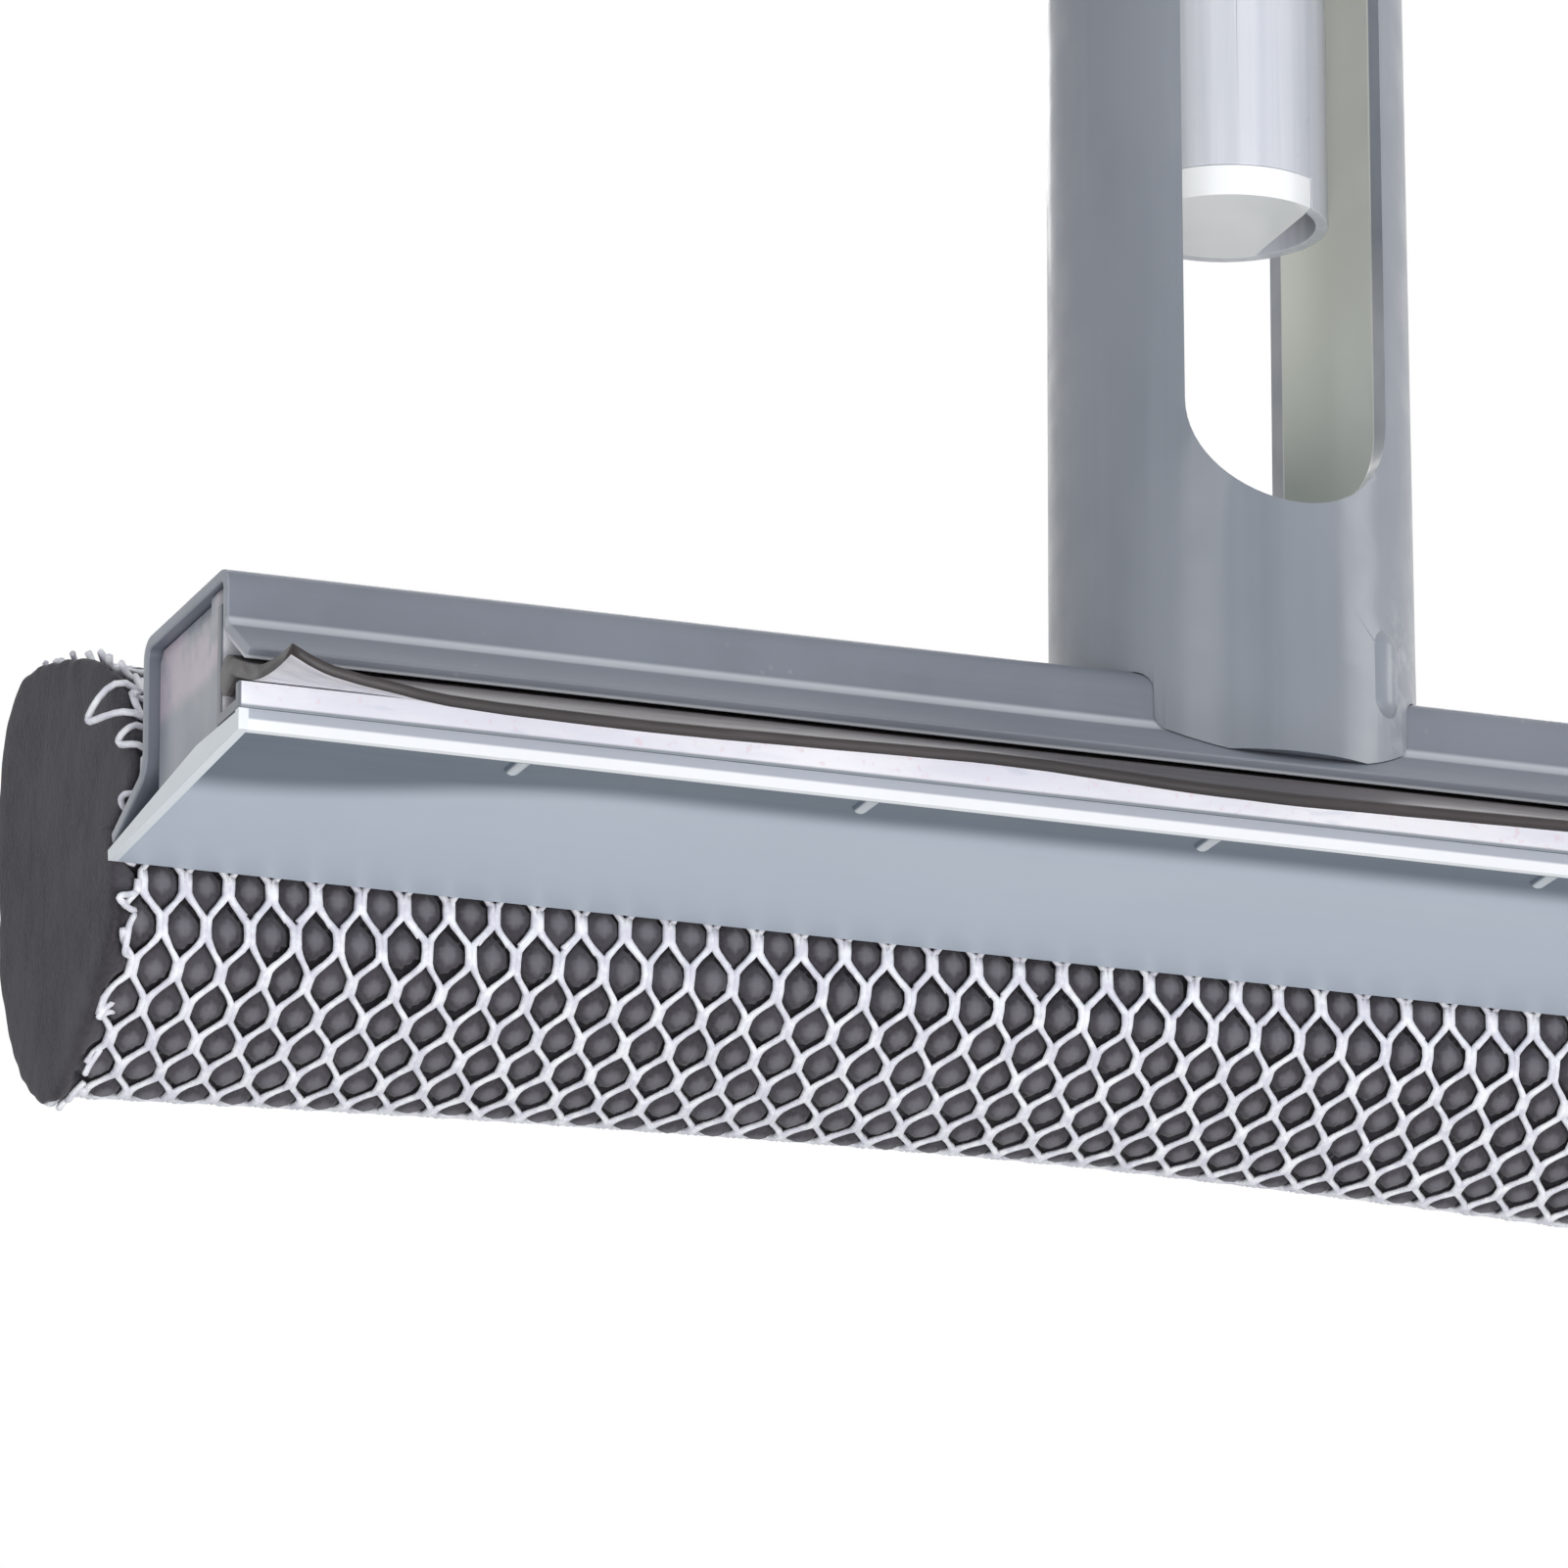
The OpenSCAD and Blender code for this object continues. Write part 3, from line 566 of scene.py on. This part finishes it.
def painted(name, base, low, high, grain, rough=0.42, coat=0.15):
    """Satin painted metal: clouded colour, fine drawn streaks along the given stretch, small specks."""
    f = Finish(name, rough=rough, coat=coat, coat_rough=0.25)
    tone = f.mix(f.ramp(f.noise(26, 4, 0.55), 0.35, 0.65), low, high)
    tone = f.tint(tone, base, f.ramp(f.noise(1.3, 3, 0.6, along=grain), 0.38, 0.62), 0.35)
    dust = f.times(f.ramp(f.cells(2.3), 0.0, 0.16, 1.0, 0.0), f.ramp(f.noise(7, 2), 0.5, 0.7))
    f.color(f.tint(tone, srgb(205, 208, 214), dust, 0.22))
    f.rough(f.ramp(f.noise(9, 4, 0.6, along=grain), 0.3, 0.7, rough - 0.07, rough + 0.1))
    f.bump(f.noise(0.6, 3, 0.6, along=grain), 0.02, 0.35, f.bump(f.noise(11, 2), 0.12, 0.25))
    return f


def shell_finish():
    """Painted metal with a painted highlight along its front crease, painted light on its lip and in the
    hollow behind it, and painted highlights on its cut ends.
    """
    f = painted("shell_paint", srgb(118, 123, 134), srgb(108, 113, 124), srgb(121, 126, 137), ALONG_HEAD)
    y, z = f.axes[1], f.axes[2]
    # Painted highlight: a bright line along the crease at the foot of the front flange
    bend_highlight = f.times(f.ramp(y, -10.9, -11.3), f.ramp(z, 10.3, 10.8), f.ramp(z, 11.3, 11.8, 1, 0))
    tone = f.tint(f.tone, srgb(200, 203, 210), bend_highlight, 0.75)
    # Painted light: the downward-facing lip, in shade, lifted towards a paler grey
    lip = f.times(f.ramp(y, -11.5, -11.9), f.ramp(z, 10.6, 10.2))
    tone = f.tint(tone, srgb(152, 156, 165), lip, 0.3)
    # Distance in mm behind the lip's front face, which leans
    behind = f.math("SUBTRACT", f.math("MULTIPLY_ADD", y, 0.574, 6.54),
                    f.math("MULTIPLY_ADD", z, 0.819, -9.17))
    # Painted light in the hollow behind the lip, pale where shade falls
    tone = f.tint(tone, srgb(214, 217, 222), f.ramp(behind, 0.7, 1.0), f.ramp(y, -6, -7))
    # Painted highlight on the two cut ends
    f.color(f.tint(tone, srgb(160, 165, 173), cut_end(f), 0.5))
    return f.material


def cut_end(f):
    """1 on the head's two cut ends."""
    return f.ramp(f.math("ABSOLUTE", f.axes[0]), HALF - 0.3, HALF - 0.15)


def tray_finish():
    """Painted like the shell, with painted shade behind the front rim and a paler painted reflection further
    back, painted highlights on the ribs, and a painted highlight on the rim and cut ends.
    """
    f = painted("tray_paint", srgb(150, 160, 172), srgb(140, 150, 162), srgb(160, 169, 180), ALONG_HEAD,
                rough=0.5, coat=0.04)
    y, x, z = f.axes[1], f.math("ABSOLUTE", f.axes[0]), f.axes[2]
    tone = f.tone
    # Painted shade behind the front rim, reaching further back towards both ends, and a paler painted
    # reflection further back
    wander = f.math("SUBTRACT", f.times(f.noise(24, 2, along=(0.4, 1, 1)), 3.0),
                    f.ramp(x, HALF - 42, HALF - 4, 0, 7.5))
    shade = f.ramp(f.math("ADD", y, wander), -6.5, -0.5)
    tone = f.mix(shade, f.mix(0.85, tone, srgb(84, 98, 112)), f.mix(0.85, tone, srgb(196, 205, 216)))
    # Painted highlight on the ribs' low faces
    rib_highlight = f.times(f.ramp(z, 0.6, 0.4), f.times(f.ramp(y, -14, -13.6), f.ramp(y, -7.5, -8)))
    tone = f.tint(tone, srgb(226, 231, 233), rib_highlight, 0.85)
    # Painted highlight along the rim's lower edge, greyer above it
    rim = f.mix(f.ramp(z, 0.9, 1.15), srgb(246, 248, 249), srgb(176, 181, 190))
    tone = f.mix(f.ramp(y, -14.35, -14.15, 1, 0), tone, rim)
    # Painted highlight on the sheet's cut ends
    f.color(f.mix(f.ramp(x, HALF - 1.0, HALF - 0.85), tone, srgb(236, 240, 243)))
    return f.material


def jaw_finish():
    """Bright mill-finish strip with faint pinkish and bluish flecks, and painted shade at its foot and on its
    cut ends.
    """
    f = Finish("jaw_bright", rough=0.36, coat=0.1)
    tone = f.mix(f.ramp(f.noise(5, 4, 0.6, along=(0.25, 1, 1)), 0.35, 0.65), srgb(236, 236, 244),
                 srgb(250, 249, 252))
    tone = f.tint(tone, srgb(236, 214, 220), f.ramp(f.noise(1.1, 2, 0.5), 0.60, 0.72), 0.5)
    tone = f.tint(tone, srgb(205, 212, 224), f.ramp(f.noise(1.6, 2, 0.5, along=(0.3, 1, 1)), 0.62, 0.75), 0.4)
    # Painted shade at the foot, where it meets the tray's rim
    tone = f.mix(f.ramp(f.axes[2], 2.2, 2.5, 1, 0), tone, srgb(138, 145, 152))
    # Painted shade on the cut ends
    f.color(f.mix(cut_end(f), tone, srgb(112, 116, 124)))
    f.bump(f.noise(0.7, 3, 0.6, along=(0.1, 1, 1)), 0.03, 0.4)
    return f.material


def plastic_finish(name, low, high, rough=0.38, grain=0.35, depth=0.03, coat=0.2):
    """Moulded plastic: faint flow clouds, fine eggshell texture, light scuffs."""
    f = Finish(name, rough=rough, coat=coat, coat_rough=0.15)
    tone = f.mix(f.ramp(f.noise(18, 3, 0.5, along=(1, 1, 0.45)), 0.32, 0.68), low, high)
    lighter = tuple(min(1.0, c * 1.35 + 0.03) for c in high[:3]) + (1,)
    f.color(f.tint(tone, lighter, f.ramp(f.noise(1.2, 4, 0.7, along=(1, 1, 0.1)), 0.68, 0.8), 0.12))
    f.rough(f.ramp(f.noise(5, 3), 0.3, 0.7, rough - 0.05, rough + 0.09))
    f.bump(f.noise(grain, 2, 0.5), depth, 0.25)
    return f


def socket_finish():
    """Grey moulded plastic: soft flow bands, painted light on its right side, a mottled painted highlight low
    on its right at its foot, and a pale greenish bore lit by painted light.
    """
    f = plastic_finish("socket_plastic", srgb(112, 118, 127), srgb(124, 129, 138), rough=0.37, depth=0.015,
                       coat=0.3)
    x, y, z = f.axes
    band = f.ramp(f.noise(5, 3, 0.55, along=(1, 1, 0.03)), 0.35, 0.65)
    tone = f.tint(f.tone, srgb(134, 139, 148), band, 0.35)
    # Painted light: the right side lighter
    tone = f.tint(tone, srgb(142, 147, 156), f.ramp(x, 3, 15), 0.5)
    # Painted highlight, mottled, low on the right of the foot
    foot_highlight = f.times(f.ramp(f.noise(2.4, 3, 0.6), 0.42, 0.7), f.ramp(z, 28, 21), f.ramp(x, 8, 12))
    tone = f.tint(tone, srgb(186, 188, 192), foot_highlight, 0.4)
    radius = f.math("SQRT", f.math("ADD", f.math("POWER", x, 2), f.math("POWER", y, 2)))
    # Painted light on the bore's wall, paler upwards, where it lies in shade
    bore_light = f.times(f.ramp(radius, SOCKET_BORE, SOCKET_BORE - 0.2), f.ramp(z, 17.5, 18.5))
    f.color(f.mix(bore_light, tone, f.mix(f.ramp(z, 36, 75), srgb(196, 201, 196), srgb(228, 230, 218))))
    f.bump(f.noise(4, 2, 0.5, along=(1, 1, 0.2)), 0.03, 0.3)
    return f.material


def cap_finish():
    """Grey plastic with a faint pinkish painted reflection above and painted shade on its front edge."""
    f = plastic_finish("cap_plastic", srgb(146, 151, 159), srgb(164, 168, 176))
    # Painted reflection: a faint pinkish area in the upper part
    pink_reflection = f.times(f.ramp(f.noise(6, 3), 0.36, 0.56), f.ramp(f.axes[2], 7.5, 9.5))
    tone = f.tint(f.tone, srgb(210, 192, 204), pink_reflection, 0.7)
    # Painted shade on the front edge
    f.color(f.mix(f.ramp(f.axes[1], -6.5, -8.5), tone, srgb(98, 102, 111)))
    return f.material


def rubber_finish(name, low, high):
    """Natural dark rubber with dusty bloom and fine lines along its length."""
    f = Finish(name, rough=0.42, specular=0.45)
    tone = f.mix(f.ramp(f.noise(14, 4, 0.6, along=(0.3, 1, 1)), 0.3, 0.7), low, high)
    bloom = f.ramp(f.noise(2.2, 4, 0.65, along=(0.12, 1, 1)), 0.5, 0.72)
    f.color(f.tint(tone, srgb(86, 80, 83), bloom, 0.25))
    f.rough(f.ramp(f.noise(6, 3, 0.5, along=(0.2, 1, 1)), 0.3, 0.7, 0.34, 0.55))
    lumps = f.bump(f.noise(7, 2, along=(0.3, 1, 1)), 0.25, 0.25)
    f.bump(f.noise(0.8, 3, 0.6, along=ALONG_HEAD), 0.04, 0.4, lumps)
    return f.material


def underside_reflection_finish():
    """The rubber's underside, pale as a painted reflection, with pinkish and bluish flecks."""
    f = Finish("blade_underside_reflection", rough=0.3, coat=0.5, coat_rough=0.2)
    tone = f.mix(f.ramp(f.noise(4, 4, 0.65, along=(0.3, 1, 1)), 0.32, 0.68), srgb(196, 192, 199),
                 srgb(232, 229, 235))
    tone = f.tint(tone, srgb(226, 198, 205), f.ramp(f.noise(1.3, 3, 0.6), 0.56, 0.7), 0.55)
    cool = f.ramp(f.noise(1.8, 2, 0.5, along=(0.3, 1, 1)), 0.6, 0.74)
    f.color(f.tint(tone, srgb(186, 196, 210), cool, 0.5))
    f.bump(f.noise(0.9, 3, 0.6, along=(0.2, 1, 1)), 0.05, 0.4)
    return f.material


def foam_finish():
    """Charcoal open-cell foam: fine pores, soft mottling, painted shade beside the net's strands and painted
    highlights on the middles of its cells.
    """
    f = Finish("foam_cells", rough=0.95, specular=0.15, sheen=0.12)
    grain = f.times(f.ramp(f.cells(0.75), 0.05, 0.5), f.ramp(f.noise(0.45, 3, 0.65), 0.35, 0.68))
    tone = f.mix(grain, srgb(64, 61, 66), srgb(76, 73, 78))
    tone = f.tint(tone, srgb(90, 87, 93), f.ramp(f.noise(8, 5, 0.62), 0.36, 0.66), 0.6)
    swell = f.node("ShaderNodeAttribute", attribute_name="swell").outputs["Fac"]
    # Painted shade beside the net's strands, where the foam sinks
    tone = f.mix(f.ramp(swell, 0.1, 0.75, 0.75, 0.0), tone, srgb(36, 34, 38))
    # Painted highlight on the middle of each swelling cell
    f.color(f.mix(f.ramp(swell, 0.82, 1.0, 0.0, 0.6), tone, srgb(132, 129, 135)))
    f.bump(grain, 0.1, 0.4, f.bump(f.noise(6, 4, 0.6), 0.9, 0.6))
    return f.material


def net_finish():
    """White knitted yarn: fine filament lines, slightly lilac in broad clouds."""
    f = Finish("net_yarn", rough=0.72, sheen=0.25, specular=0.3)
    tone = f.mix(f.ramp(f.noise(1.6, 3, 0.6), 0.35, 0.66), srgb(222, 220, 230), srgb(252, 252, 254))
    f.color(f.mix(f.ramp(f.noise(30, 2), 0.35, 0.65, 0.0, 0.2), tone, srgb(226, 224, 235)))
    f.bump(f.noise(0.22, 2, 0.6), 0.08, 0.6)
    return f.material


def tube_finish():
    """Pale drawn aluminium: long fine lines up the tube, faint bands, small handling marks."""
    f = Finish("pole_metal", rough=0.34, coat=0.15, coat_rough=0.2)
    tone = f.mix(f.ramp(f.noise(2.2, 4, 0.6, along=(1, 1, 0.02)), 0.35, 0.65), srgb(200, 202, 210),
                 srgb(216, 217, 224))
    tone = f.mix(f.ramp(f.noise(22, 3), 0.4, 0.7, 0.0, 0.3), tone, srgb(196, 200, 210))
    marks = f.ramp(f.noise(1.4, 3, 0.7, along=(1, 1, 0.5)), 0.66, 0.76)
    f.color(f.tint(tone, srgb(170, 174, 184), marks, 0.3))
    f.rough(f.ramp(f.noise(4, 3, 0.5, along=(1, 1, 0.05)), 0.3, 0.7, 0.28, 0.44))
    f.bump(f.noise(0.5, 3, 0.6, along=(1, 1, 0.03)), 0.02, 0.4)
    return f.material


def metal_finish(name, low, high, rough=0.3, grain=(1, 1, 1)):
    """Bare metal: mottled or brushed along the given stretch."""
    f = Finish(name, rough=rough, metal=1.0)
    f.color(f.mix(f.ramp(f.noise(1.8, 4, 0.6, along=grain), 0.3, 0.7), low, high))
    f.rough(f.ramp(f.noise(1.1, 3, 0.6, along=grain), 0.3, 0.7, rough - 0.08, rough + 0.12))
    f.bump(f.noise(0.5, 3, 0.6, along=grain), 0.02, 0.4)
    return f.material


finishes = {
    "head_shell": shell_finish(),
    "tray_plate": tray_finish(),
    "blade_jaw": jaw_finish(),
    "left_end_cap": cap_finish(),
    "net_clamp_strip": painted("clamp_paint", srgb(128, 134, 143), srgb(116, 122, 131), srgb(134, 140, 149),
                               ALONG_HEAD).material,
    "clamp_rivets": metal_finish("rivet_metal", srgb(176, 180, 186), srgb(205, 208, 212)),
    "handle_socket": socket_finish(),
    "socket_backing_plate": metal_finish("backing_metal", srgb(150, 154, 160), srgb(182, 185, 190), 0.36,
                                         (0.1, 1, 1)),
    "socket_screws": metal_finish("screw_metal", srgb(168, 170, 174), srgb(204, 205, 208), 0.26),
    "socket_bush": plastic_finish("bush_plastic", srgb(54, 57, 62), srgb(70, 73, 78), rough=0.4).material,
    "pole_tube": tube_finish(),
    "pole_end_plug": plastic_finish("plug_plastic", srgb(246, 247, 248), srgb(253, 253, 254),
                                    rough=0.4).material,
    "grip_sleeve": plastic_finish("grip_rubber", srgb(58, 61, 66), srgb(70, 73, 79), rough=0.6, grain=0.5,
                                  depth=0.08, coat=0.0).material,
}
finishes["right_end_cap"] = finishes["left_end_cap"]
finishes["grip_pin"] = finishes["socket_screws"]
finishes["pole_stop_collar"] = finishes["grip_cap"] = finishes["socket_bush"]
foam.data.materials.append(foam_finish())
net.data.materials.append(net_finish())
# The blade's top gets a lighter copy of the rubber, painted light lifting its shade under the lip; its
# underside gets a painted reflection
for material in (rubber_finish("blade_rubber", srgb(34, 29, 30), srgb(50, 43, 44)), underside_reflection_finish(),
                 rubber_finish("blade_top_painted_light", srgb(72, 67, 69), srgb(90, 84, 86))):
    blade.data.materials.append(material)

# CAD nodes: merged points, small rounded edges and even shading, by modifiers and with no point moved
EDGE = {"head_shell": 0.22, "tray_plate": 0.2, "blade_jaw": 0.12, "net_clamp_strip": 0.2, "clamp_rivets": 0.1,
        "socket_screws": 0.1, "pole_tube": 0.15, "pole_end_plug": 0.15, "grip_pin": 0.1}
EDGE_ELSE, EDGE_ANGLE, WELD_REACH = 0.3, math.radians(35), 0.000002
for name, finish in finishes.items():
    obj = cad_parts[name]
    if obj.material_slots:
        obj.material_slots[0].material = finish
    else:
        obj.data.materials.append(finish)
    obj.data.polygons.foreach_set("use_smooth", [True] * len(obj.data.polygons))
    weld = obj.modifiers.new("weld", "WELD")
    weld.merge_threshold = WELD_REACH
    bevel = obj.modifiers.new("edges", "BEVEL")
    bevel.limit_method = "ANGLE"
    bevel.angle_limit = EDGE_ANGLE
    bevel.width = EDGE.get(name, EDGE_ELSE) / 1000
    bevel.segments = 2
    bevel.use_clamp_overlap = True
    normals = obj.modifiers.new("normals", "WEIGHTED_NORMAL")
    normals.keep_sharp = True

# Stage: a pale floor far enough below to be seen over, a white background and soft lamps
FLOOR_DROP, FLOOR_HALF, FLOOR_WHITE = 4.6, 60, 0.86
WORLD_LEVEL = 0.55


def background_rays(tree):
    """1 for a ray that shows the background: the camera's own, a reflected or a transmitted one."""
    rays = tree.nodes.new("ShaderNodeLightPath")
    share = rays.outputs["Is Camera Ray"]
    for kind in ("Is Glossy Ray", "Is Transmission Ray"):
        either = tree.nodes.new("ShaderNodeMath")
        either.operation = "MAXIMUM"
        tree.links.new(share, either.inputs[0])
        tree.links.new(rays.outputs[kind], either.inputs[1])
        share = either.outputs[0]
    return share


def mixed(tree, share, first, second, output):
    """Two shaders mixed into a tree's output."""
    mixer = tree.nodes.new("ShaderNodeMixShader")
    for socket, source in zip(mixer.inputs, (share, first.outputs[0], second.outputs[0])):
        tree.links.new(source, socket)
    tree.links.new(mixer.outputs[0], tree.nodes[output].inputs["Surface"])


floor = new_object("floor", [(x * FLOOR_HALF, y * FLOOR_HALF, LIFT / 1000 - FLOOR_DROP)
                             for x, y in ((-1, -1), (1, -1), (1, 1), (-1, 1))], [[0, 1, 2, 3]])
f = Finish("floor_paper", rough=0.9, specular=0.1)
f.color(f.mix(f.ramp(f.noise(300, 2), 0.3, 0.7), srgb(238, 239, 240), srgb(242, 242, 243)))
mixed(f.tree, f.math("MULTIPLY", background_rays(f.tree), FLOOR_WHITE), f.shader,
      f.node("ShaderNodeEmission"), "Material Output")
floor.data.materials.append(f.material)

world = bpy.data.worlds.new("world")
bpy.context.scene.world = world
world.use_nodes = True
light = world.node_tree.nodes["Background"]
light.inputs["Color"].default_value = (0.93, 0.96, 1.0, 1)
light.inputs["Strength"].default_value = WORLD_LEVEL
white = world.node_tree.nodes.new("ShaderNodeBackground")
white.inputs["Color"].default_value = (1, 1, 1, 1)
white.inputs["Strength"].default_value = 1.0
mixed(world.node_tree, background_rays(world.node_tree), light, white, "World Output")

# Square area lamps: place in m from the point they aim at, size in m, and the share of a white surface's
# full tone that each gives
LAMP_AIM = frame_point(-30, 0, 20)
for name, place, size, level in (("key", (-0.9, -1.1, 0.7), 0.7, 0.12),
                                 ("front", (0.1, -1.2, -0.43), 0.5, 0.26),
                                 ("low", (-0.25, -1.0, -0.66), 0.5, 0.4),
                                 ("right", (1.2, -0.5, 0.3), 0.6, 0.19),
                                 ("behind", (0.3, 1.2, 0.9), 0.8, 0.22)):
    data = bpy.data.lights.new(name, "AREA")
    data.shape = "SQUARE"
    data.size = size
    data.energy = level * math.pi ** 2 * Vector(place).length ** 2
    lamp = bpy.data.objects.new(name, data)
    lamp.location = LAMP_AIM + Vector(place)
    lamp.rotation_euler = Vector(place).to_track_quat("Z", "Y").to_euler()
    lamp.visible_camera = False
    bpy.context.scene.collection.objects.link(lamp)

bpy.context.scene.view_settings.view_transform = "Standard"
